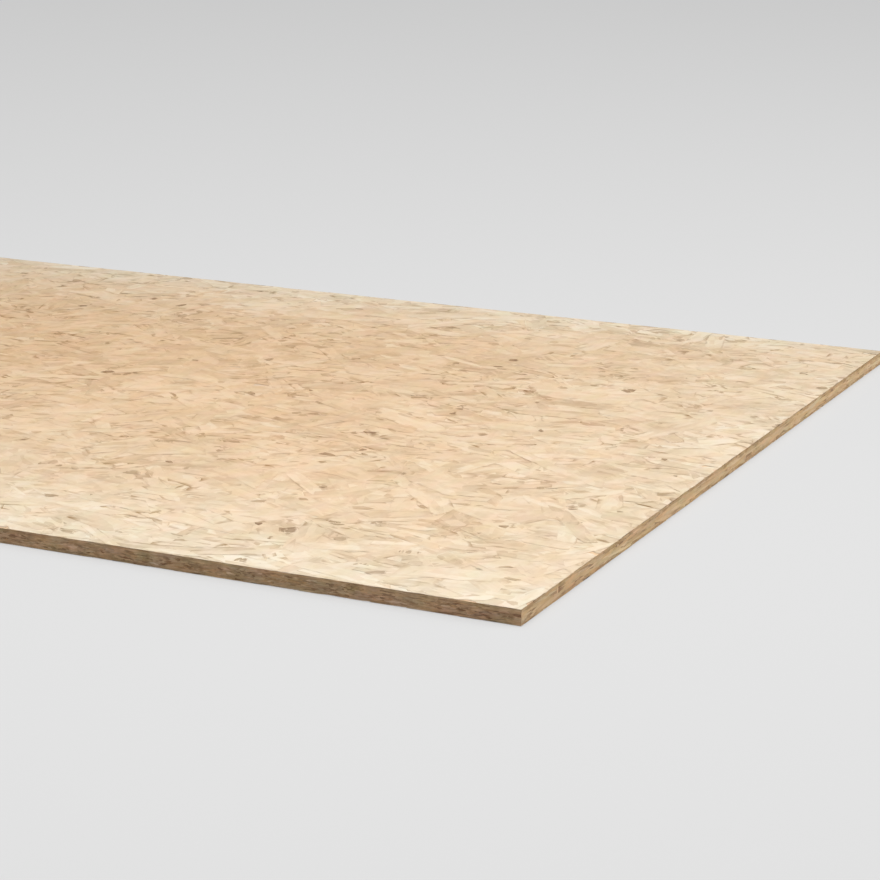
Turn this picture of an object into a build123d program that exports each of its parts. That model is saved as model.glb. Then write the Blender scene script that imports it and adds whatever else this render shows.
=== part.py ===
"""Oriented strand board panel: one pressed sheet, sawn square on all four sides.

Frame: origin at the centre of the underside, X along the length (the way the face strands run),
Y across the width, Z up through the thickness. Millimetres.
"""

import os

from build123d import *

# Driving dimensions of the sheet
length = 2440.0
width = 1220.0
thickness = 18.0

# The saw leaves a sharp arris, which handling breaks by about half a millimetre
arris = 0.5

os.makedirs("parts", exist_ok=True)

# The panel: the trimmed outline, pressed to one thickness, with every arris broken
with BuildPart() as panel:
    with BuildSketch(Plane.XY) as sawn_outline:
        Rectangle(length, width)
    extrude(amount=thickness)
    chamfer(panel.edges(), length=arris)

panel.part.label = "panel"
export_step(panel.part, "parts/panel.step")
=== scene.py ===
# %% [markdown]
# # Oriented strand board panel
# The real board is a mat of thin wood strands, glued and pressed flat, then sawn square. The packed
# model gives its exact size and place as one plain solid. A picture of strands could be wrapped round
# that solid, but it would look flat close up. So this lesson lays thousands of thin strands on the two
# faces, shows the strands that the saw cut on the four edges, and gives every strand its own tone of
# wood.

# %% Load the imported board
import math
from collections import namedtuple

import bpy
import numpy as np
from mathutils import Euler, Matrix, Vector


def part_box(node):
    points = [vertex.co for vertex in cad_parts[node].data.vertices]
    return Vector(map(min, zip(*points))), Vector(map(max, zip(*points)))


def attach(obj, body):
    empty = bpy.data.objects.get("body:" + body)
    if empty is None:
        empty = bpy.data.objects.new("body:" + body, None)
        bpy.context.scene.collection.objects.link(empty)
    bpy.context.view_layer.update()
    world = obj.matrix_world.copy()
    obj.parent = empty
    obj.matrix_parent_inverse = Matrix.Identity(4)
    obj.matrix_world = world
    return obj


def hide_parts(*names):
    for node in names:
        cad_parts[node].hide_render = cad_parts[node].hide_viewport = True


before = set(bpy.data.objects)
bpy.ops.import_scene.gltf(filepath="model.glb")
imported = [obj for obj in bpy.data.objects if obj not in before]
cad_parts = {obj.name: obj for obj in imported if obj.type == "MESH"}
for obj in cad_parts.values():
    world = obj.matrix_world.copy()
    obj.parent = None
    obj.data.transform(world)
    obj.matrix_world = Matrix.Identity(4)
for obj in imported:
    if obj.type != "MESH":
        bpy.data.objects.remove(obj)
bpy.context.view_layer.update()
low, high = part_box("panel")
middle = (low + high) / 2
length, width, thickness = high - low
print(f"{len(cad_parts)} node, board {length:.3f} x {width:.3f} x {thickness:.3f} m")

# %% [markdown]
# ## Camera
# The photograph was taken with a long lens from beyond the near right corner, looking down at a shallow
# angle. Fitting the three visible edges and the two visible thicknesses gave the focal length in
# pixels, the tilt, the heading, and the place of the camera from the near right corner of the
# underside.

# %% Camera at the photograph's angle
IMAGE_PX = 880
FOCAL_PX = 2677.0
SENSOR_MM = 36.0
TILT_DOWN = math.radians(15.48)
HEADING = math.radians(25.97)
FROM_NEAR_CORNER = Vector((1.032, -2.304, 0.892))

lens = bpy.data.cameras.new("camera")
lens.sensor_width = SENSOR_MM
lens.lens = SENSOR_MM * FOCAL_PX / IMAGE_PX
camera = bpy.data.objects.new("camera", lens)
camera.location = Vector((high.x, low.y, low.z)) + FROM_NEAR_CORNER
camera.rotation_euler = Euler((math.pi / 2 - TILT_DOWN, 0.0, HEADING))
bpy.context.collection.objects.link(camera)
bpy.context.scene.camera = camera
print(f"lens {lens.lens:.1f} mm at {tuple(round(v, 3) for v in camera.location)}")

# %% [markdown]
# ## Studio light
# Three soft lamps light the board: a wide one overhead, a smaller one above the near right corner,
# where the face is brightest, and one from the right for the sawn end. No lamp faces the near side, so
# it stays in shade. A sun lamp would be simpler, but it lights the whole face alike. On the face the
# levels add up to about one, so that a colour comes out as it is written.

# %% Lamps and fill
SoftLamp = namedtuple("SoftLamp", "name place target size power")
LAMPS = (
    SoftLamp("overhead", (0.3, 1.2, 4.0), (0.3, 1.0, 0.0), 4.5, 69.5),
    SoftLamp("corner_lamp", (1.0, -0.9, 2.6), (0.7, -0.4, 0.0), 1.6, 41.0),
    SoftLamp("right_lamp", (4.8, 1.2, 1.5), (1.2, 0.2, 0.0), 2.2, 92.0),
)
FILL_STRENGTH = 0.2


def hang_lamp(lamp):
    """A square area lamp of this size in metres and power in watts, at its place, facing its target."""
    data = bpy.data.lights.new(lamp.name, "AREA")
    data.size = lamp.size
    data.energy = lamp.power
    hung = bpy.data.objects.new(lamp.name, data)
    hung.location = lamp.place
    hung.rotation_euler = (Vector(lamp.place) - Vector(lamp.target)).to_track_quat("Z", "Y").to_euler()
    bpy.context.collection.objects.link(hung)


for lamp in LAMPS:
    hang_lamp(lamp)
world = bpy.data.worlds.new("studio")
world.use_nodes = True
fill = world.node_tree.nodes["Background"].inputs
fill["Color"].default_value = (1.0, 1.0, 1.0, 1.0)
fill["Strength"].default_value = FILL_STRENGTH
bpy.context.scene.world = world
bpy.context.scene.view_settings.view_transform = "Standard"
print("lamps", [lamp.name for lamp in LAMPS], "and fill", FILL_STRENGTH)

# %% [markdown]
# ## Floor
# The board lies on a plain pale floor, one large square just below it. A white floor would throw its
# light back at the board, so to the light it is a middle grey. To the camera, and in gloss and glass,
# it glows a little as well, which makes it paler there and still shows the board's shadow.

# %% Floor
FLOOR_HALF = 30.0
FLOOR_GAP = 0.0004

floor_corners = np.array([(-1, -1), (1, -1), (1, 1), (-1, 1)]) * FLOOR_HALF
floor_points = np.column_stack([floor_corners, np.full(4, low.z - FLOOR_GAP)])
floor_mesh = bpy.data.meshes.new("floor")
floor_mesh.from_pydata(floor_points.tolist(), [], [(0, 1, 2, 3)])
floor = bpy.data.objects.new("floor", floor_mesh)
bpy.context.collection.objects.link(floor)
print("floor at", floor_points[0, 2])

# %% Floor paint
FLOOR_GREY = 0.6
FLOOR_ROUGHNESS = 0.9
GLOW_GREY = 0.85
GLOW_SHARE = 0.6


def feed(tree, socket, value):
    """Links value into a socket, or writes it there if it is a number or a tuple."""
    if isinstance(value, bpy.types.NodeSocket):
        tree.links.new(value, socket)
    else:
        socket.default_value = value


def maths(tree, operation, *values):
    """A Math node's result."""
    node = tree.nodes.new("ShaderNodeMath")
    node.operation = operation
    for socket, value in zip(node.inputs, values):
        feed(tree, socket, value)
    return node.outputs["Value"]


def grey(level):
    """An opaque grey of this level."""
    return (level, level, level, 1.0)


paint = bpy.data.materials.new("pale_floor")
paint.use_nodes = True
paint_tree = paint.node_tree
matt = paint_tree.nodes["Principled BSDF"]
feed(paint_tree, matt.inputs["Base Color"], grey(FLOOR_GREY))
feed(paint_tree, matt.inputs["Roughness"], FLOOR_ROUGHNESS)
feed(paint_tree, matt.inputs["Specular IOR Level"], 0.0)
glow = paint_tree.nodes.new("ShaderNodeEmission")
feed(paint_tree, glow.inputs["Color"], grey(GLOW_GREY))
ray = paint_tree.nodes.new("ShaderNodeLightPath").outputs
mirrored = maths(paint_tree, "MAXIMUM", ray["Is Glossy Ray"], ray["Is Transmission Ray"])
seen = maths(paint_tree, "MAXIMUM", ray["Is Camera Ray"], mirrored)
blend = paint_tree.nodes.new("ShaderNodeMixShader")
feed(paint_tree, blend.inputs["Fac"], maths(paint_tree, "MULTIPLY", seen, GLOW_SHARE))
feed(paint_tree, blend.inputs[1], matt.outputs["BSDF"])
feed(paint_tree, blend.inputs[2], glow.outputs["Emission"])
feed(paint_tree, paint_tree.nodes["Material Output"].inputs["Surface"], blend.outputs["Shader"])
floor_mesh.materials.append(paint)
print("floor grey", FLOOR_GREY, "with a glow of", GLOW_GREY)

# %% [markdown]
# ## Six faces to lay strands on
# Every strand lies flat on one of the six faces, so one function can lay them all if each face has its
# own axes. `along` and `across` lie in the face and `out` points away from the board, so that along x
# across = out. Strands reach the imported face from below: the bed under them sits lower by the height of
# the relief.

# %% The faces and their axes
Face = namedtuple("Face", "centre along across out half")
X, Y, Z = np.eye(3)


def board_face(along, across):
    """The face that looks along x across: its centre is the board's, moved out by half the size."""
    size = np.array([length, width, thickness])
    out = np.cross(along, across)
    half = np.array([abs(along) @ size, abs(across) @ size]) / 2
    return Face(np.array(middle) + out * size / 2, along, across, out, half)


top = board_face(X, Y)
underside = board_face(X, -Y)
front_side = board_face(X, Z)
back_side = board_face(-X, Z)
right_end = board_face(Y, Z)
left_end = board_face(-Y, Z)
print("face halves", top.half, front_side.half, right_end.half)

# %% [markdown]
# ## Even places
# The strands fall as an even rain, so no part of the mat is left bare. Plain random places would leave
# holes and heaps. Here each place is the last one moved on by two fixed shares of the face, which never
# line up, and a small jitter hides the pattern.

# %% Places that fill a square
EVEN_STEPS = np.array([0.7548776662466927, 0.5698402909980532])
TRIAL_COUNT = 1000
TRIAL_SQUARES = 10


def spread_evenly(rng, count):
    """Points that fill a square from -1 to 1: each step adds two fixed shares, wrapped, and a jitter."""
    steps = rng.uniform(0, 1, 2) + np.arange(count)[:, None] * EVEN_STEPS
    steps += rng.uniform(-0.5, 0.5, (count, 2)) / math.sqrt(count)
    return 2 * (steps % 1.0) - 1


trial_places = spread_evenly(np.random.default_rng(0), TRIAL_COUNT)
held = np.histogram2d(*trial_places.T, bins=TRIAL_SQUARES, range=[(-1, 1), (-1, 1)])[0]
print(f"{TRIAL_COUNT} places in {held.size} squares: {held.min():.0f} to {held.max():.0f} in each")

# %% [markdown]
# ## Kinds of strand
# On the real board each strand is a thin shaving a few centimetres long, cut along the grain. The
# machine lays them mostly along the board, with a wide scatter. Most are pale sapwood or tan heartwood,
# and a few are brown. Short brown slivers and small dark bits of bark lie among them. Particles could
# scatter copies of one strand, but then all would have the same shape. Here every length, turn, taper
# and tone is its own number in an array.

# %% Strands, slivers and bark as kinds
# Size is in metres and scatter in degrees. Stray is the share that turns any way at all. Taper is the
# range of the ends' widths, as shares of the full width. Rough is how far an edge strays, as a share of
# the half width. Shares, tones and spread say which woods there are, how pale each is and how much that
# varies.
Kind = namedtuple("Kind", "size scatter stray stations taper rough shares tones spread")
LONG_STATIONS = np.array([-1.0, -0.72, 0.66, 1.0])
SHORT_STATIONS = np.array([-1.0, 0.0, 1.0])
STRAND = Kind(
    size=(0.075, 0.0215),
    scatter=30,
    stray=0.05,
    stations=LONG_STATIONS,
    taper=(0.5, 1.0),
    rough=0.08,
    shares=(0.16, 0.45, 0.28, 0.11),
    tones=(0.87, 0.78, 0.70, 0.60),
    spread=0.04,
)
SLIVER = Kind(
    size=(0.016, 0.010),
    scatter=26,
    stray=0.06,
    stations=SHORT_STATIONS,
    taper=(0.0, 0.8),
    rough=0.3,
    shares=(0.6, 0.4),
    tones=(0.47, 0.32),
    spread=0.08,
)
BARK = Kind(
    size=(0.013, 0.013),
    scatter=35,
    stray=0.1,
    stations=SHORT_STATIONS,
    taper=(0.0, 1.1),
    rough=0.4,
    shares=(0.6, 0.4),
    tones=(0.41, 0.24),
    spread=0.08,
)
print("sizes", STRAND.size, SLIVER.size, BARK.size)

# %% Draw strands of a kind
SIZE_SPREAD = 0.34
BOW_SPREAD = 0.015
SLANT_SPREAD = 0.9
SEED_RANGE = 50
WHOLE_FACE = (-1.0, 1.0)


def wood_tones(rng, kind, count):
    """A tone for each strand: one of the kind's woods, drawn by its share, with a normal spread."""
    wood = rng.choice(len(kind.shares), count, p=kind.shares)
    return np.clip(np.array(kind.tones)[wood] + rng.normal(0, kind.spread, count), 0, 1)


def draw_strands(rng, kind, count, face, band=WHOLE_FACE):
    """Draws strands of a kind, with their middles in a band of the face, given from -1 to 1 across it.

    A length or width is the kind's own times e to a normal spread. A turn is normal with the kind's
    scatter. The bow, slant and wander bend the outline, the level and tilt give the height, and the seed
    shifts the grain.
    """
    place = spread_evenly(rng, count)
    place[:, 1] = band[0] + (band[1] - band[0]) * (place[:, 1] + 1) / 2
    turn = np.radians(rng.normal(0, kind.scatter, count))
    strays = rng.uniform(0, 1, count) < kind.stray
    turn[strays] = rng.uniform(-math.pi / 2, math.pi / 2, strays.sum())
    return {
        "stations": kind.stations,
        "place": place * face.half,
        "turn": turn,
        "half_length": kind.size[0] / 2 * rng.lognormal(0, SIZE_SPREAD, count),
        "half_width": kind.size[1] / 2 * rng.lognormal(0, SIZE_SPREAD, count),
        "bow": rng.normal(0, BOW_SPREAD, count),
        "taper": rng.uniform(*kind.taper, (count, 2)),
        "slant": rng.normal(0, SLANT_SPREAD, (count, 2)),
        "wander": rng.normal(0, kind.rough, (count, len(kind.stations), 2)),
        "level": rng.permutation(count) / count,
        "tilt": rng.uniform(-1, 1, count),
        "seed": rng.uniform(0, SEED_RANGE, count),
        "tone": wood_tones(rng, kind, count),
    }


trial = draw_strands(np.random.default_rng(0), STRAND, TRIAL_COUNT, top)
trial_length = 2 * trial["half_length"].mean()
print(f"trial strands: mean length {trial_length:.3f} m, mean tone {trial['tone'].mean():.2f}")

# %% [markdown]
# ## Drawing the two faces
# On the real board the slivers and the bark lie near the surface, partly in clumps. Towards its edges
# the face is painted paler and less yellow, as painted light for the brighter, whiter light near the
# borders, and each border has its own strength and reach. That could be painted over the whole face,
# but here it goes by strands, so each strand gets one number for it, its warmth.

# %% Warmth by the distance from the borders
# Each pair is a border's greatest paleness, which is painted light, and its reach in metres.
PAINTED_LIGHT_ENDS = (0.76, 0.42)
PAINTED_LIGHT_FRONT = (1.04, 0.28)
PAINTED_LIGHT_BACK = (1.0, 0.14)
WARMTH_SPREAD = 0.03


def warmth_under_border_light(rng, drawn, face):
    """Warmth: 1 less the paleness of the strongest border, which is painted light, with a little spread.

    A border's paleness is its level times e^(-distance / reach).
    """
    place = face.centre + drawn["place"][:, :1] * face.along + drawn["place"][:, 1:] * face.across
    distances = (length / 2 - abs(place[:, 0] - middle.x), place[:, 1] - low.y, high.y - place[:, 1])
    borders = zip(distances, (PAINTED_LIGHT_ENDS, PAINTED_LIGHT_FRONT, PAINTED_LIGHT_BACK))
    pale = np.max([level * np.exp(-distance / reach) for distance, (level, reach) in borders], axis=0)
    return 1 - pale + rng.normal(0, WARMTH_SPREAD, len(pale))


trial_warmth = warmth_under_border_light(np.random.default_rng(0), trial, top)
print(f"trial warmth from {trial_warmth.min():.2f} to {trial_warmth.max():.2f}")

# %% Draw both faces
STRAND_COUNT = 8700
SLIVER_COUNT = 1100
BARK_COUNT = 340
SLIVER_DEPTH = 0.4
BARK_DEPTH = 0.2
CLUMP_SHARE = 0.5
CLUMP_REACH = 0.022


def gather(rng, drawn, face):
    """Moves a share of the bits into clumps: each one's middle becomes another's, plus a normal step."""
    count = len(drawn["place"])
    moved = rng.uniform(0, 1, count) < CLUMP_SHARE
    near = drawn["place"][rng.integers(0, count, count)] + rng.normal(0, CLUMP_REACH, (count, 2))
    drawn["place"] = np.clip(np.where(moved[:, None], near, drawn["place"]), -face.half, face.half)


def face_strands(rng, face):
    """One face: strands at all levels, and the slivers and bark bits in the top shares of the relief."""
    strands = draw_strands(rng, STRAND, STRAND_COUNT, face)
    slivers = draw_strands(rng, SLIVER, SLIVER_COUNT, face)
    slivers["level"] = 1 - SLIVER_DEPTH * slivers["level"]
    bark = draw_strands(rng, BARK, BARK_COUNT, face)
    bark["level"] = 1 - BARK_DEPTH * bark["level"]
    for drawn in (slivers, bark):
        gather(rng, drawn, face)
    for drawn in (strands, slivers, bark):
        drawn["warmth"] = warmth_under_border_light(rng, drawn, face)
    return [(drawn, face) for drawn in (strands, slivers, bark)]


top_parts = face_strands(np.random.default_rng(11), top)
underside_parts = face_strands(np.random.default_rng(12), underside)
print("drawn on each face", [len(drawn["turn"]) for drawn, _ in top_parts])

# %% [markdown]
# ## From numbers to solids
# A strand is a thin blade: a three-cornered section, two edges on top and a keel below, carried along
# its own line. The keel is sunk into the bed, so only the flat top and the thin lip under each edge can
# be seen, as on the real board. Boxes would do too, but a blade has fewer faces. The saw cut every
# strand that crossed the outline, so its line is first cut to the face, and the corners that still
# reach past are brought back to it.

# %% Cut a strand's line to the face
LEAST_SPEED = 1e-9


def cut_to_face(place, run, half_length, limit):
    """The part of each line place + s * half_length * run within +-limit: its first and last s.

    s runs from -1 to 1. On each axis the line enters and leaves at (-+limit - place) / speed. The cut runs
    from the last entry to the first leaving.
    """
    speed = run * half_length[:, None]
    speed = np.where(abs(speed) < LEAST_SPEED, LEAST_SPEED, speed)
    one = (-limit - place) / speed
    two = (limit - place) / speed
    enter = np.minimum(one, two).max(1)
    leave = np.maximum(one, two).min(1)
    return np.clip(enter, -1, 1), np.clip(leave, -1, 1)


trial_cut = cut_to_face(np.zeros((1, 2)), np.array([[1.0, 0.0]]), np.ones(1), np.array([0.5, 0.5]))
print("a strand twice as long as its face keeps s from", trial_cut[0][0], "to", trial_cut[1][0])

# %% Outline of a strand
ARRIS = 0.0005
SLANT_LIMIT = 0.35


def strand_outline(drawn, run, reach):
    """Each strand's s (along) and t (across) at its stations, and how far its ends are sheared.

    s runs from one cut end to the other. t is 1 on one edge and -1 on the other, times the ends' taper,
    with a little wander. The shear grows from the middle to the end. An end that the saw cut has neither
    taper nor shear.
    """
    wide = reach + drawn["half_width"][:, None]
    first, last = cut_to_face(drawn["place"], run, drawn["half_length"], wide)
    s = first[:, None] + (last - first)[:, None] * (drawn["stations"] + 1) / 2
    whole = np.stack([first <= -1, last >= 1], 1)
    ends = np.where(whole, drawn["taper"], 1.0)
    taper = np.ones_like(s)
    taper[:, 0] = ends[:, 0]
    taper[:, -1] = ends[:, 1]
    t = np.stack([taper, -taper], 2) * (1 + drawn["wander"])
    most = SLANT_LIMIT * drawn["half_length"][:, None]
    slant = np.clip(drawn["slant"] * drawn["half_width"][:, None], -most, most) * whole
    backward = slant[:, :1] * np.clip(-drawn["stations"], 0, 1)
    forward = slant[:, 1:] * np.clip(drawn["stations"], 0, 1)
    return s, t, backward + forward


def run_of(drawn):
    """The direction of each strand in its face."""
    return np.stack([np.cos(drawn["turn"]), np.sin(drawn["turn"])], 1)


trial_s = strand_outline(trial, run_of(trial), top.half - ARRIS)[0]
print("trial strands cut by the saw:", int(((trial_s[:, 0] > -1) | (trial_s[:, -1] < 1)).sum()))

# %% Points and faces of the strands
LEVEL_SHARE = 0.84
TILT_SHARE = 0.08
BLADE_CORNERS = 3


def strand_points(drawn, face, relief, keel):
    """Places of every strand's points, as (strand, station, corner, 3): left edge, right edge and keel.

    A point is the strand's middle, plus forward along its run and sideways across it, where forward =
    s * half length + shear * t and sideways = bow * (s^2 - 1/3) * half length + t * half width. Its height
    under the face is the strand's level plus its tilt times s, and the keel lies below the bed. Forward,
    sideways, s and t are also given, because the material needs them.
    """
    run = run_of(drawn)
    side = np.stack([-run[:, 1], run[:, 0]], 1)
    reach = face.half - ARRIS
    s, t, shear = strand_outline(drawn, run, reach)
    t = np.concatenate([t, np.zeros_like(t[:, :, :1])], 2)
    half_length = drawn["half_length"][:, None, None]
    half_width = drawn["half_width"][:, None, None]
    forward = s[:, :, None] * half_length + shear[:, :, None] * t
    sideways = drawn["bow"][:, None, None] * (s[:, :, None] ** 2 - 1 / 3) * half_length + t * half_width
    flat = drawn["place"][:, None, None] + forward[..., None] * run[:, None, None]
    flat = np.clip(flat + sideways[..., None] * side[:, None, None], -reach, reach)
    rise = LEVEL_SHARE * drawn["level"][:, None] + TILT_SHARE * (1 + drawn["tilt"][:, None] * s)
    height = relief * (rise - 1)
    heights = np.stack([height, height, np.full_like(height, -relief - keel)], 2)
    points = face.centre + flat[..., :1] * face.along + flat[..., 1:] * face.across
    return points + heights[..., None] * face.out, forward, sideways, s[:, :, None] + 0 * t, t


def strand_faces(count, stations):
    """Corner numbers of the faces: three quads from station to station, and a triangle at each end."""
    first = np.arange(count)[:, None, None, None] * stations * BLADE_CORNERS
    step = np.arange(stations - 1)[:, None, None] * BLADE_CORNERS
    quads = first + step + np.array([(1, 4, 3, 0), (0, 3, 5, 2), (2, 5, 4, 1)])
    last = BLADE_CORNERS * (stations - 1)
    ends = first[:, :, 0] + np.array([(0, 2, 1), (last, last + 1, last + 2)])
    return quads.reshape(-1, 4), ends.reshape(-1, 3)


trial_quads, trial_ends = strand_faces(1, len(LONG_STATIONS))
print(f"one strand: {len(trial_quads)} quads and {len(trial_ends)} closed ends")

# %% [markdown]
# ## One mesh for each face
# Thousands of objects would be slow, so the strands of one face are joined in one mesh. What the
# material needs to know about each strand is stored on its points: where a point lies along and across
# its strand, and the strand's tone, warmth and size. One more map lays the strands side by side in a
# grid, for an export that draws colours.

# %% Mesh and export map
BAKE_CELL_ASPECT = 6.0
BAKE_MARGIN = 1.0 / 1024
WIDEST_T = 1.3


def mesh_from(name, points, quads, ends):
    """A flat-shaded mesh of these points, quads and triangles, put in as whole arrays."""
    mesh = bpy.data.meshes.new(name)
    mesh.vertices.add(len(points))
    mesh.vertices.foreach_set("co", points.astype(np.float32).ravel())
    corners = np.concatenate([quads.ravel(), ends.ravel()])
    mesh.loops.add(len(corners))
    mesh.loops.foreach_set("vertex_index", corners.astype(np.int32))
    starts = np.concatenate([np.arange(len(quads)) * 4, quads.size + np.arange(len(ends)) * 3])
    mesh.polygons.add(len(starts))
    mesh.polygons.foreach_set("loop_start", starts.astype(np.int32))
    mesh.update(calc_edges=True)
    mesh.shade_flat()
    return mesh


def bake_grid(strands):
    """Columns and rows of a grid with a cell for each strand, each wider than tall by the aspect."""
    columns = math.ceil(math.sqrt(strands / BAKE_CELL_ASPECT))
    return columns, math.ceil(strands / columns)


def add_bake_map(mesh, cell, rim):
    """A map for an export: each strand has its own cell in a grid, with s along the cell and t up it."""
    columns, rows = bake_grid(cell[-1] + 1)
    u = (cell % columns + 0.5) / columns + rim[:, 0] * (0.5 / columns - BAKE_MARGIN)
    v = (cell // columns + 0.5) / rows + np.clip(rim[:, 1] / WIDEST_T, -1, 1) * (0.5 / rows - BAKE_MARGIN)
    corners = np.empty(len(mesh.loops), np.int32)
    mesh.loops.foreach_get("vertex_index", corners)
    layer = mesh.uv_layers.new(name="OFBake", do_init=False)
    layer.uv.foreach_set("vector", np.stack([u, v], 1)[corners].astype(np.float32).ravel())


print("export grid of one face", bake_grid(STRAND_COUNT + SLIVER_COUNT + BARK_COUNT))

# %% Join the strands of the two faces
FACE_RELIEF = 0.0006
FACE_KEEL = 0.0004
STRAND_VALUES = ("tone", "warmth", "seed", "half_width", "half_length")


def strand_layers(drawn, face, relief, keel):
    """What is kept for each point of these strands, three numbers each: its place, grain, look and rim."""
    place, forward, sideways, s, t = strand_points(drawn, face, relief, keel)
    own = {key: drawn[key][:, None, None] + 0 * t for key in STRAND_VALUES}
    layers = {
        "place": place,
        "grain": np.stack([forward, sideways, own["seed"]], 3),
        "look": np.stack([own["tone"], own["warmth"], own["half_width"]], 3),
        "rim": np.stack([s, t, own["half_length"]], 3),
    }
    return {label: rows.reshape(-1, 3) for label, rows in layers.items()}


def join_strands(name, parts, relief, keel):
    """One piece from lists of drawn strands and the faces they lie on, with what its material reads."""
    layers = [strand_layers(drawn, face, relief, keel) for drawn, face in parts]
    joined = {label: np.concatenate([part[label] for part in layers]) for label in layers[0]}
    starts = np.cumsum([0] + [len(part["place"]) for part in layers])
    faces = [strand_faces(len(drawn["turn"]), len(drawn["stations"])) for drawn, _ in parts]
    quads = np.concatenate([part_quads + start for (part_quads, _), start in zip(faces, starts)])
    ends = np.concatenate([part_ends + start for (_, part_ends), start in zip(faces, starts)])
    mesh = mesh_from(name, joined["place"], quads, ends)
    for label in ("grain", "look", "rim"):
        layer = mesh.attributes.new(label, "FLOAT_VECTOR", "POINT")
        layer.data.foreach_set("vector", joined[label].astype(np.float32).ravel())
    sizes = np.concatenate(
        [np.full(len(drawn["turn"]), BLADE_CORNERS * len(drawn["stations"])) for drawn, _ in parts]
    )
    add_bake_map(mesh, np.repeat(np.arange(len(sizes)), sizes), joined["rim"])
    piece = bpy.data.objects.new(name, mesh)
    bpy.context.collection.objects.link(piece)
    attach(piece, "root")
    print(f"{name}: {len(sizes)} strands, {len(quads) * 2 + len(ends)} triangles")
    return piece


top_strands = join_strands("top_strands", top_parts, FACE_RELIEF, FACE_KEEL)
underside_strands = join_strands("underside_strands", underside_parts, FACE_RELIEF, FACE_KEEL)

# %% [markdown]
# ## The sawn edges
# The saw cuts across the mat, so an edge shows the strands side on. Near the two faces the strands run
# along the board, and in the middle they run across it. A long side therefore shows long streaks near
# the faces and short cut ends in the middle, and a short end shows them the other way round. A pattern
# could be painted on the bed instead, but the functions that lay the faces can lay these strands too,
# and then the edge has real relief.

# %% Cut strands on sides and ends
EDGE_RELIEF = 0.0004
EDGE_KEEL = 0.0003
EDGE_COVER = 2.8
EDGE_WARMTH_SPREAD = 0.15
OUTER_BANDS = ((0.5, 1.0), (-1.0, -0.5))
INNER_BAND = (-0.55, 0.55)
SIDE_WARMTH = 0.75
END_WARMTH = 0.72


def cut_kind(size, tones):
    """A kind of strand as the saw leaves it, nearly level and pointed, in three tones."""
    return Kind(
        size=size,
        scatter=3.0,
        stray=0.0,
        stations=SHORT_STATIONS,
        taper=(0.1, 0.4),
        rough=0.07,
        shares=(0.5, 0.35, 0.15),
        tones=tones,
        spread=0.05,
    )


def cut_strands(rng, face, outer, inner, warmth):
    """One edge: the outer kind in the two bands by the faces, and the inner kind between them.

    Each band gets as many strands as cover its area EDGE_COVER times.
    """
    bands = [(band, outer) for band in OUTER_BANDS] + [(INNER_BAND, inner)]
    parts = []
    for band, kind in bands:
        area = 2 * face.half[0] * face.half[1] * (band[1] - band[0])
        count = int(EDGE_COVER * area / (kind.size[0] * kind.size[1]))
        drawn = draw_strands(rng, kind, count, face, band)
        drawn["warmth"] = rng.normal(warmth, EDGE_WARMTH_SPREAD, count)
        parts.append((drawn, face))
    return parts


side_streak = cut_kind((0.026, 0.0018), (0.335, 0.28, 0.21))
side_cut = cut_kind((0.009, 0.0020), (0.335, 0.25, 0.13))
end_streak = cut_kind((0.046, 0.0030), (0.41, 0.39, 0.365))
end_cut = cut_kind((0.016, 0.0026), (0.245, 0.21, 0.18))
edge_rng = np.random.default_rng(13)
side_parts = []
for face in (front_side, back_side):
    side_parts += cut_strands(edge_rng, face, side_streak, side_cut, SIDE_WARMTH)
end_parts = []
for face in (right_end, left_end):
    end_parts += cut_strands(edge_rng, face, end_cut, end_streak, END_WARMTH)
side_strands = join_strands("side_cut_strands", side_parts, EDGE_RELIEF, EDGE_KEEL)
end_strands = join_strands("end_cut_strands", end_parts, EDGE_RELIEF, EDGE_KEEL)

# %% [markdown]
# ## The bed
# Under the strands lies the rest of the mat. It shows only in the small gaps between them, so it needs
# the board's shape and no more. A scaled cube would be simpler, but the board's edges are slightly
# broken. So the bed is the sawn section with its broken arrises, carried along the length. It sits
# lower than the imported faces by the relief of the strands, which fill it up to them.

# %% Section carried along the length
BED_RUNS = 24
BED_CORNERS = 8
END_INSET = 0.9 * ARRIS


def bed_surface(runs):
    """Points of the bed as (station, corner, 3): an eight-cornered section, drawn in at both ends.

    A corner is its signs times the half sizes less the arris on one axis. The stations are the two ends,
    and even runs between places one arris in from them.
    """
    half_length = length / 2 - EDGE_RELIEF
    half_section = np.array([width / 2 - EDGE_RELIEF, thickness / 2 - FACE_RELIEF])
    even = np.linspace(-half_length + ARRIS, half_length - ARRIS, runs + 1)
    along = np.concatenate([[-half_length], even, [half_length]])
    inset = np.zeros(len(along))
    inset[[0, -1]] = END_INSET
    cut = np.array([(1, 0), (0, 1), (0, 1), (1, 0), (1, 0), (0, 1), (0, 1), (1, 0)]) * ARRIS
    signs = np.array([(-1, -1), (-1, -1), (-1, 1), (-1, 1), (1, 1), (1, 1), (1, -1), (1, -1)])
    points = np.empty((len(along), BED_CORNERS, 3))
    points[..., 0] = along[:, None]
    points[..., 1:] = signs * (half_section - cut) - signs * inset[:, None, None]
    return points + np.array(middle)


def bed_faces(stations):
    """Corner numbers of the bed's faces: a ring of quads between two stations, and a cap at each end."""
    ring = np.arange(BED_CORNERS)
    following = (ring + 1) % BED_CORNERS
    quads = np.stack([ring, ring + BED_CORNERS, following + BED_CORNERS, following], 1)
    walls = np.arange(stations - 1)[:, None, None] * BED_CORNERS + quads
    caps = [ring.tolist(), (ring[::-1] + BED_CORNERS * (stations - 1)).tolist()]
    return walls.reshape(-1, 4).tolist() + caps


bed_points = bed_surface(BED_RUNS)
bed_mesh = bpy.data.meshes.new("strand_bed")
bed_mesh.from_pydata(bed_points.reshape(-1, 3).tolist(), [], bed_faces(len(bed_points)))
bed = bpy.data.objects.new("strand_bed", bed_mesh)
bpy.context.collection.objects.link(bed)
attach(bed, "root")
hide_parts("panel")
print("bed faces", len(bed_mesh.polygons))

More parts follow.
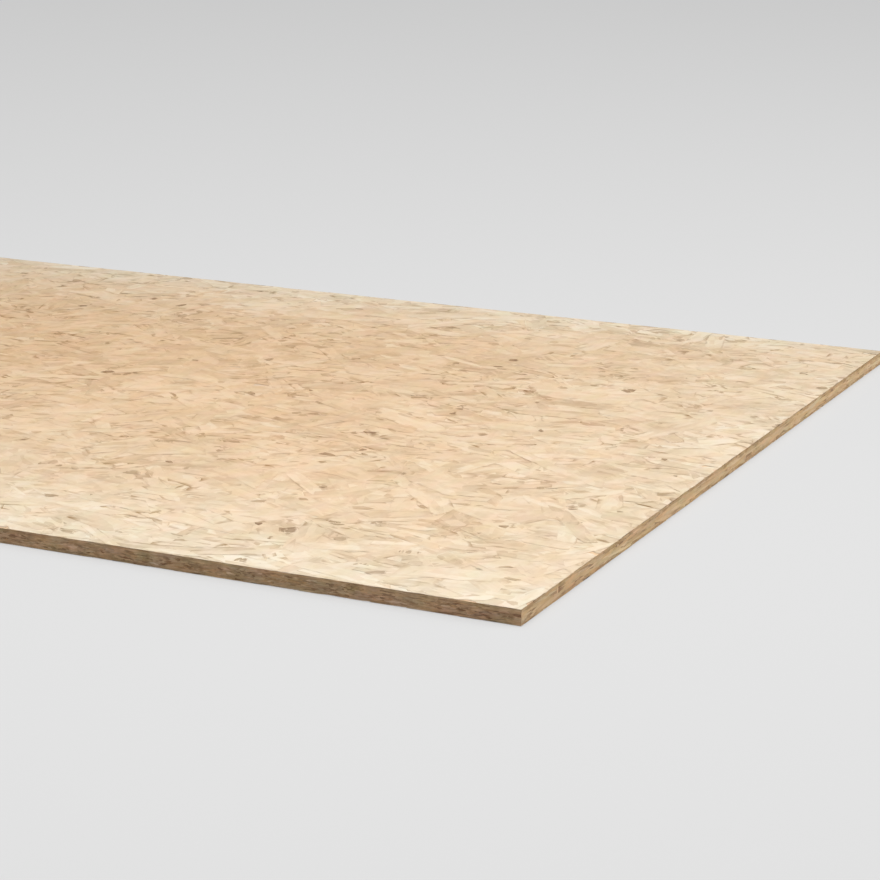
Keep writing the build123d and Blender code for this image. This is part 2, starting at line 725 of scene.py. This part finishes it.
# %% [markdown]
# ## Shared finishes
# The same wood shows on the faces, the edges and the bed, and the same marks on every strand. Each
# effect could be drawn again in each material, but then a change would have to be made in each. So the
# effects are node groups, built once and placed in each material with its own values. The first is the
# mottle: soft lumps of lighter and darker wood that run on from strand to strand.

# %% Mottle group
FLOAT = "NodeSocketFloat"
COLOR = "NodeSocketColor"
VECTOR = "NodeSocketVector"


def new_group(name, takes, gives):
    """A new shader group with sockets listed as name: kind, and the sockets of its two end nodes."""
    tree = bpy.data.node_groups.new(name, "ShaderNodeTree")
    for label, kind in takes.items():
        tree.interface.new_socket(label, in_out="INPUT", socket_type=kind)
    for label, kind in gives.items():
        tree.interface.new_socket(label, in_out="OUTPUT", socket_type=kind)
    return tree, tree.nodes.new("NodeGroupInput").outputs, tree.nodes.new("NodeGroupOutput").inputs


def stretched(tree, vector, stretch):
    """A vector with each axis times its own stretch."""
    node = tree.nodes.new("ShaderNodeVectorMath")
    node.operation = "MULTIPLY"
    feed(tree, node.inputs[0], vector)
    feed(tree, node.inputs[1], stretch)
    return node.outputs["Vector"]


def noise(tree, vector, lumps, detail=1.0, gives="Fac"):
    """Noise from 0 to 1 with this many lumps a metre on each axis of the vector.

    Its Color output gives three such noises at once.
    """
    node = tree.nodes.new("ShaderNodeTexNoise")
    node.inputs["Scale"].default_value = 1.0
    node.inputs["Detail"].default_value = detail
    feed(tree, node.inputs["Vector"], stretched(tree, vector, lumps))
    return node.outputs[gives]


def swing(tree, value):
    """A value from 0 to 1 as a swing about its middle, from -1/2 to 1/2."""
    return maths(tree, "SUBTRACT", value, 0.5)


def mottle_group():
    """Tone plus the swing of a noise times the depth."""
    takes = {"Tone": FLOAT, "Place": VECTOR, "Lumps": VECTOR, "Depth": FLOAT}
    tree, given, out = new_group("Mottle", takes, {"Tone": FLOAT})
    lumps = swing(tree, noise(tree, given["Place"], given["Lumps"]))
    feed(tree, out["Tone"], maths(tree, "MULTIPLY_ADD", lumps, given["Depth"], given["Tone"]))
    return tree


MOTTLE = mottle_group()
print(MOTTLE.name, "group with", len(MOTTLE.nodes), "nodes")

# %% [markdown]
# ## Wood tone
# One number from 0 to 1 stands for the wood: dark bark, brown, tan, and pale sapwood at the top. Each
# wood could have its own material, but one colour ramp gives every tone between them too. Warm wood is
# yellower than the ramp and the borders of the faces are painted whiter, as painted light, and the hue
# drifts a little to red and to blue from place to place, since the strands come from many trees.

# %% Wood tone group
TONES = (
    (0.0, (0.26, 0.145, 0.075)),
    (0.25, (0.52, 0.345, 0.195)),
    (0.50, (0.70, 0.495, 0.300)),
    (0.75, (0.81, 0.595, 0.378)),
    (1.0, (0.88, 0.685, 0.465)),
)
# The border tint is painted light: the whiter colour of the brighter light near the face's borders.
BORDER_LIGHT_TINT = (1.06, 1.22, 1.43, 1.0)
INNER_TINT = (0.985, 0.92, 0.865, 1.0)
RED_SHARE = 0.8
# A Mix node has sockets for every kind of data, so those for colours are found by number.
MIX_SHARE = 0
MIX_FIRST = 6
MIX_SECOND = 7
MIX_RESULT = 2


def mix_colour(tree, share, first, second, blend="MIX"):
    """A colour mix: first where share is 0, second where it is 1."""
    node = tree.nodes.new("ShaderNodeMix")
    node.data_type = "RGBA"
    node.blend_type = blend
    feed(tree, node.inputs[MIX_SHARE], share)
    feed(tree, node.inputs[MIX_FIRST], first)
    feed(tree, node.inputs[MIX_SECOND], second)
    return node.outputs[MIX_RESULT]


def split(tree, vector):
    """The three parts of a vector."""
    node = tree.nodes.new("ShaderNodeSeparateXYZ")
    feed(tree, node.inputs["Vector"], vector)
    return node.outputs


def wood_tone_group():
    """The ramp's colour at the tone, times a tint by warmth, times the drift of the hue.

    The tint runs from the border's, which is painted light, to the inner one. The drift multiplies red
    by 1 + hue * red share * swing, and blue by 1 + hue * the swing of another noise.
    """
    takes = {"Tone": FLOAT, "Warmth": FLOAT, "Place": VECTOR, "Hue": FLOAT, "Hue Lumps": VECTOR}
    tree, given, out = new_group("Wood tone", takes, {"Color": COLOR})
    ramp = tree.nodes.new("ShaderNodeValToRGB")
    stops = ramp.color_ramp.elements
    while len(stops) < len(TONES):
        stops.new(0.5)
    for stop, (place, colour) in zip(stops, TONES):
        stop.position = place
        stop.color = (*colour, 1.0)
    feed(tree, ramp.inputs["Fac"], given["Tone"])
    tint = mix_colour(tree, given["Warmth"], BORDER_LIGHT_TINT, INNER_TINT)
    wood = mix_colour(tree, 1.0, ramp.outputs["Color"], tint, "MULTIPLY")
    drift = split(tree, noise(tree, given["Place"], given["Hue Lumps"], gives="Color"))
    redder = maths(tree, "MULTIPLY", swing(tree, drift["X"]), RED_SHARE)
    bluer = swing(tree, drift["Y"])
    hue = tree.nodes.new("ShaderNodeCombineXYZ")
    feed(tree, hue.inputs["X"], maths(tree, "MULTIPLY_ADD", redder, given["Hue"], 1.0))
    feed(tree, hue.inputs["Y"], 1.0)
    feed(tree, hue.inputs["Z"], maths(tree, "MULTIPLY_ADD", bluer, given["Hue"], 1.0))
    feed(tree, out["Color"], mix_colour(tree, 1.0, wood, hue.outputs["Vector"], "MULTIPLY"))
    return tree


WOOD_TONE = wood_tone_group()
print(WOOD_TONE.name, "group with", len(TONES), "stops")

# %% [markdown]
# ## Wood grain
# Close up, a strand shows fine fibres and broader bands along its length, patches where a flake has
# lifted, and a few dark splinters. Each is a pattern stretched along the strand, on the strand's own
# coordinates, so that it turns with the strand. Noise gives the soft fibres, and cells with sharp
# borders give flakes and splinters.

# %% Wood grain group
FIBRES = (25.0, 900.0, 1.0)
FIBRE_DETAIL = 2.0
FIBRE_SHARE = 0.6
BANDS = (9.0, 160.0, 1.7)
FLAKES = (42.0, 100.0, 2.3)
SPLINTERS = (36.0, 150.0, 4.7)
SPLINTER_LIMITS = (0.88, 0.94)
SPLINTER_DEPTH = 0.5


def cells(tree, vector, counts):
    """Three random numbers for each cell, with this many cells a metre on each axis of the vector."""
    node = tree.nodes.new("ShaderNodeTexVoronoi")
    node.inputs["Scale"].default_value = 1.0
    feed(tree, node.inputs["Vector"], stretched(tree, vector, counts))
    return split(tree, node.outputs["Color"])


def ramp_between(tree, value, start, stop):
    """0 below start, 1 above stop, and a smooth rise between them."""
    node = tree.nodes.new("ShaderNodeMapRange")
    node.interpolation_type = "SMOOTHSTEP"
    feed(tree, node.inputs["Value"], value)
    feed(tree, node.inputs["From Min"], start)
    feed(tree, node.inputs["From Max"], stop)
    return node.outputs["Result"]


def wood_grain_group():
    """Streaks are fine fibres and broad bands, mixed by the fibre share.

    Flakes are a number for each flake's cell. Splinters are 1 in the few cells whose number is past the
    limits. Height is the streaks less the splinters times their depth.
    """
    gives = {"Streaks": FLOAT, "Flakes": FLOAT, "Splinters": FLOAT, "Height": FLOAT}
    tree, given, out = new_group("Wood grain", {"Place": VECTOR}, gives)
    fine = noise(tree, given["Place"], FIBRES, FIBRE_DETAIL)
    broad = maths(tree, "MULTIPLY", noise(tree, given["Place"], BANDS), 1 - FIBRE_SHARE)
    streaks = maths(tree, "MULTIPLY_ADD", fine, FIBRE_SHARE, broad)
    flakes = cells(tree, given["Place"], FLAKES)["X"]
    splinters = ramp_between(tree, cells(tree, given["Place"], SPLINTERS)["Y"], *SPLINTER_LIMITS)
    feed(tree, out["Streaks"], streaks)
    feed(tree, out["Flakes"], flakes)
    feed(tree, out["Splinters"], splinters)
    feed(tree, out["Height"], maths(tree, "MULTIPLY_ADD", splinters, -SPLINTER_DEPTH, streaks))
    return tree


WOOD_GRAIN = wood_grain_group()
print(WOOD_GRAIN.name, "group with", len(WOOD_GRAIN.nodes), "nodes")

# %% [markdown]
# ## Strand rim
# Where one strand lies over another, a thin dark line runs along parts of its outline and opens in
# places into a wedge: partly the strand's own dark edge, and partly painted shadow in the gap beneath
# it. The lips of the solids are too thin to show this from a few metres, so the rim group paints it
# inside the outline, from the stored s and t. It also says where the strand's ends are frayed, so that
# they can fade.

# %% Strand rim group
WEDGES = (46.0, 29.0, 3.1)
WEDGE_LIMITS = (0.52, 0.72)
BREAKS = (28.0, 30.0, 1.3)
BREAK_LIMITS = (0.42, 0.60)
LINE = 0.13
HAIRLINE = 0.01
LINE_SHADE = 0.32
GAP_START = -0.2
END_SHARE = 0.65
WAVES = (70.0, 120.0, 2.9)
WAVE = 0.26
FRAYS = (8.0, 350.0, 2.7)
FRAY_LEVEL = 0.6
FRAY = 2.0
FEATHER = 0.1


def outline_distances(tree, rim, half_width):
    """Distances from the long edges and from the ends, in half widths.

    They are 1 - |t|, and (1 - |s|) * half length / half width.
    """
    s, t, half_length = split(tree, rim)
    from_side = maths(tree, "SUBTRACT", 1.0, maths(tree, "ABSOLUTE", t))
    from_end = maths(tree, "SUBTRACT", 1.0, maths(tree, "ABSOLUTE", s))
    return from_side, maths(tree, "MULTIPLY", from_end, maths(tree, "DIVIDE", half_length, half_width))


def strand_rim_group():
    """Gap falls from 1 just outside the outline to 0 at the gap's own width, times its shade.

    That width is the wedge noise plus a broken thin line, times the gap width. It never falls to 0,
    because a ramp between equal limits is dark everywhere. A wave makes the distance uneven. Gap is
    painted shadow in the gap at the outline, and partly the strand's own dark edge. Inside is 0 at the
    frayed outline and 1 past the feather.
    """
    takes = {"Rim": VECTOR, "Half Width": FLOAT, "Place": VECTOR, "Gap Width": FLOAT}
    tree, given, out = new_group("Strand rim", takes, {"Gap": FLOAT, "Inside": FLOAT})
    from_side, from_end = outline_distances(tree, given["Rim"], given["Half Width"])
    wedge = ramp_between(tree, noise(tree, given["Place"], WEDGES), *WEDGE_LIMITS)
    unbroken = ramp_between(tree, noise(tree, given["Place"], BREAKS), *BREAK_LIMITS)
    line = maths(tree, "MULTIPLY_ADD", unbroken, LINE, HAIRLINE)
    reach = maths(tree, "MULTIPLY", maths(tree, "ADD", wedge, line), given["Gap Width"])
    reach = maths(tree, "DIVIDE", reach, given["Half Width"])
    nearest = maths(tree, "MINIMUM", from_side, maths(tree, "MULTIPLY", from_end, END_SHARE))
    wave = swing(tree, noise(tree, given["Place"], WAVES))
    nearest = maths(tree, "MULTIPLY_ADD", wave, WAVE, nearest)
    past = ramp_between(tree, nearest, maths(tree, "MULTIPLY", reach, GAP_START), reach)
    shade = maths(tree, "MULTIPLY_ADD", wedge, 1 - LINE_SHADE, LINE_SHADE)
    # Gap: painted shadow along the outline, partly the strand's own dark edge.
    feed(tree, out["Gap"], maths(tree, "MULTIPLY", maths(tree, "SUBTRACT", 1.0, past), shade))
    fray = maths(tree, "SUBTRACT", noise(tree, given["Place"], FRAYS), FRAY_LEVEL)
    frayed = maths(tree, "MINIMUM", from_side, maths(tree, "MULTIPLY_ADD", fray, FRAY, from_end))
    feed(tree, out["Inside"], ramp_between(tree, frayed, 0.0, FEATHER))
    return tree


STRAND_RIM = strand_rim_group()
print(STRAND_RIM.name, "group with", len(STRAND_RIM.nodes), "nodes")

# %% [markdown]
# ## Mark patches
# In the photograph the dark marks come in patches, with cleaner wood between them. Each strand could have
# its own strength of marks, but a patch takes in several strands. So one noise over the whole board
# says how strong the marks are.

# %% Mark patches group
PATCHES = (11.0, 19.0, 20.0)
PATCH_LIMITS = (0.36, 0.62)
FEWEST_MARKS = 0.25
MOST_MARKS = 1.62


def mark_patches_group():
    """Amount runs from the fewest marks to the most, by a noise between its limits."""
    tree, given, out = new_group("Mark patches", {"Place": VECTOR}, {"Amount": FLOAT})
    patches = ramp_between(tree, noise(tree, given["Place"], PATCHES), *PATCH_LIMITS)
    amount = maths(tree, "MULTIPLY_ADD", patches, MOST_MARKS - FEWEST_MARKS, FEWEST_MARKS)
    feed(tree, out["Amount"], amount)
    return tree


MARK_PATCHES = mark_patches_group()
print("groups", sorted(group.name for group in bpy.data.node_groups))

# %% [markdown]
# ## Material of the bed
# Each material places the groups and keeps its own shader. The bed could have one flat colour, but close
# up the gaps would show it, so it gets tone and grain. Below the faces it is a little darker than the
# strands. Behind the sawn edges it is dark brown, painted shade: it shows there only in deep cracks,
# where shade falls.

# %% Bed materials
SAWN_GLOSS = 0.1
ROUGHNESS_RANGE = 0.3
BED_ROUGHNESS = 0.6
BED_BUMP = 0.0003
BED_HUE = 0.3
BED_HUE_LUMPS = (40.0, 40.0, 40.0)
UPRIGHT_LIMIT = 0.9


def new_material(name, gloss):
    """A material with its tree and its Principled shader's inputs, and this specular level."""
    material = bpy.data.materials.new(name)
    material.use_nodes = True
    shader = material.node_tree.nodes["Principled BSDF"]
    shader.inputs["Specular IOR Level"].default_value = gloss
    return material, material.node_tree, shader.inputs


def place_group(tree, group, **values):
    """A group placed in a material: its inputs by name, with _ for a space."""
    node = tree.nodes.new("ShaderNodeGroup")
    node.node_tree = group
    for label, value in values.items():
        feed(tree, node.inputs[label.replace("_", " ")], value)
    return node.outputs


def board_place(tree):
    """The place on the board, in metres."""
    return tree.nodes.new("ShaderNodeTexCoord").outputs["Object"]


def bump(tree, height, distance):
    """The normal of a surface raised by height times distance."""
    node = tree.nodes.new("ShaderNodeBump")
    node.inputs["Distance"].default_value = distance
    feed(tree, node.inputs["Height"], height)
    return node.outputs["Normal"]


def bed_material(name, *, tone, spread, warmth):
    """The mat below the strands: the tone, with the flakes' swing times the spread."""
    material, tree, shader = new_material(name, SAWN_GLOSS)
    board = board_place(tree)
    grain = place_group(tree, WOOD_GRAIN, Place=board)
    tones = maths(tree, "MULTIPLY_ADD", swing(tree, grain["Flakes"]), spread, tone)
    wood = place_group(
        tree, WOOD_TONE, Tone=tones, Warmth=warmth, Place=board, Hue=BED_HUE, Hue_Lumps=BED_HUE_LUMPS
    )
    feed(tree, shader["Base Color"], wood["Color"])
    rough = maths(tree, "MULTIPLY_ADD", grain["Streaks"], ROUGHNESS_RANGE, BED_ROUGHNESS)
    feed(tree, shader["Roughness"], rough)
    feed(tree, shader["Normal"], bump(tree, grain["Height"], BED_BUMP))
    return material


bed_mesh.materials.append(bed_material("deep_mat", tone=0.66, spread=0.5, warmth=0.5))
# Behind the sawn edges the bed's dark brown is painted shade for the deep cracks.
bed_mesh.materials.append(bed_material("shaded_deep_cut", tone=0.22, spread=0.4, warmth=0.6))
upright = [abs(face.normal.z) < UPRIGHT_LIMIT for face in bed_mesh.polygons]
bed_mesh.polygons.foreach_set("material_index", np.array(upright, np.int32))
print("bed faces behind the sawn edges", sum(upright))

# %% [markdown]
# ## Materials of the strands
# The faces are pressed against a smooth plate, so they have a faint sheen. The edges are the same wood
# cut by the saw: rough, matt and browner, because wood cut across its grain drinks the light. Each could
# be built on its own, but they differ only in the strength, size and tint of each effect. So one
# function makes all three materials.

# %% Pressed faces
STRAND_ROUGHNESS = 0.5
STRAND_BUMP = 0.0002
UNTINTED = (1.0, 1.0, 1.0, 1.0)
# The dark tint of fibre streaks and splinters, and of the painted shadow in the gaps at strand outlines.
MARK_AND_SHADOW_TINT = (0.45, 0.33, 0.20, 1.0)


def stored(tree, name):
    """A value stored on the mesh."""
    node = tree.nodes.new("ShaderNodeAttribute")
    node.attribute_name = name
    return node.outputs["Vector"]


def strand_material(
    name, *, gloss, bare, mean_tone, hue, hue_lumps, flakes, mottles, streaks, splinters, gap_shadows, gap_width
):
    """The strand's tone, faded to the mean tone at its frayed outline, and shifted by flakes and mottles.

    Each mottle is its lumps a metre on the three axes and its depth. The wood's colour is then multiplied
    by a mix from bare to the dark tint of the marks and the painted gap shadow: streaks count everywhere,
    and splinters and the painted gap shadows by the patches.
    """
    material, tree, shader = new_material(name, gloss)
    board = board_place(tree)
    place = stored(tree, "grain")
    tone, warmth, half = split(tree, stored(tree, "look"))
    grain = place_group(tree, WOOD_GRAIN, Place=place)
    rim = place_group(
        tree, STRAND_RIM, Rim=stored(tree, "rim"), Half_Width=half, Place=place, Gap_Width=gap_width
    )
    off_mean = maths(tree, "SUBTRACT", tone, mean_tone)
    tone = maths(tree, "MULTIPLY_ADD", off_mean, rim["Inside"], mean_tone)
    tone = maths(tree, "MULTIPLY_ADD", swing(tree, grain["Flakes"]), flakes, tone)
    for lumps, depth in mottles:
        tone = place_group(tree, MOTTLE, Tone=tone, Place=board, Lumps=lumps, Depth=depth)["Tone"]
    wood = place_group(tree, WOOD_TONE, Tone=tone, Warmth=warmth, Place=board, Hue=hue, Hue_Lumps=hue_lumps)
    marks_and_shadows = maths(tree, "MULTIPLY", grain["Splinters"], splinters)
    # Splinters are dark wood; the rim's Gap is painted shadow along the outline, partly a dark edge.
    marks_and_shadows = maths(tree, "MULTIPLY_ADD", rim["Gap"], gap_shadows, marks_and_shadows)
    amount = place_group(tree, MARK_PATCHES, Place=board)["Amount"]
    dark = maths(tree, "MULTIPLY", swing(tree, grain["Streaks"]), streaks)
    dark = maths(tree, "MULTIPLY_ADD", marks_and_shadows, amount, dark)
    shade = mix_colour(tree, dark, bare, MARK_AND_SHADOW_TINT)
    feed(tree, shader["Base Color"], mix_colour(tree, 1.0, wood["Color"], shade, "MULTIPLY"))
    rough = maths(tree, "MULTIPLY_ADD", grain["Streaks"], ROUGHNESS_RANGE, STRAND_ROUGHNESS)
    feed(tree, shader["Roughness"], rough)
    feed(tree, shader["Normal"], bump(tree, grain["Height"], STRAND_BUMP))
    return material


pressed_strand = strand_material(
    "pressed_strand",
    gloss=0.3,
    bare=UNTINTED,
    mean_tone=0.75,
    hue=0.18,
    hue_lumps=(45.0, 25.0, 25.0),
    flakes=0.23,
    mottles=(((7.0, 11.0, 9.0), 0.36), ((22.0, 28.0, 20.0), 0.34), ((140.0, 70.0, 60.0), 0.22)),
    streaks=0.26,
    splinters=0.20,
    gap_shadows=0.52,
    gap_width=0.0078,
)
for piece in (top_strands, underside_strands):
    piece.data.materials.append(pressed_strand)
print(pressed_strand.name, "with", len(pressed_strand.node_tree.nodes), "nodes")

# %% Sawn edges
SAWN_TONE = 0.33
# The width of the painted gap shadow on the sawn strands.
SAWN_GAP_WIDTH = 0.0006

sawn_side = strand_material(
    "sawn_side",
    gloss=SAWN_GLOSS,
    bare=UNTINTED,
    mean_tone=SAWN_TONE,
    hue=0.40,
    hue_lumps=(40.0, 40.0, 110.0),
    flakes=0.13,
    mottles=(((12.0, 12.0, 60.0), 0.25), ((80.0, 80.0, 190.0), 0.38), ((200.0, 200.0, 300.0), 0.26)),
    streaks=0.15,
    splinters=0.06,
    gap_shadows=0.12,
    gap_width=SAWN_GAP_WIDTH,
)
sawn_end = strand_material(
    "sawn_end",
    gloss=SAWN_GLOSS,
    bare=(0.99, 1.01, 0.95, 1.0),
    mean_tone=SAWN_TONE,
    hue=0.34,
    hue_lumps=(28.0, 28.0, 110.0),
    flakes=0.06,
    mottles=(((5.0, 5.0, 40.0), 0.16), ((30.0, 30.0, 110.0), 0.15), ((160.0, 160.0, 350.0), 0.12)),
    streaks=0.10,
    splinters=0.04,
    gap_shadows=0.10,
    gap_width=SAWN_GAP_WIDTH,
)
side_strands.data.materials.append(sawn_side)
end_strands.data.materials.append(sawn_end)
print("materials", [material.name for material in bpy.data.materials])
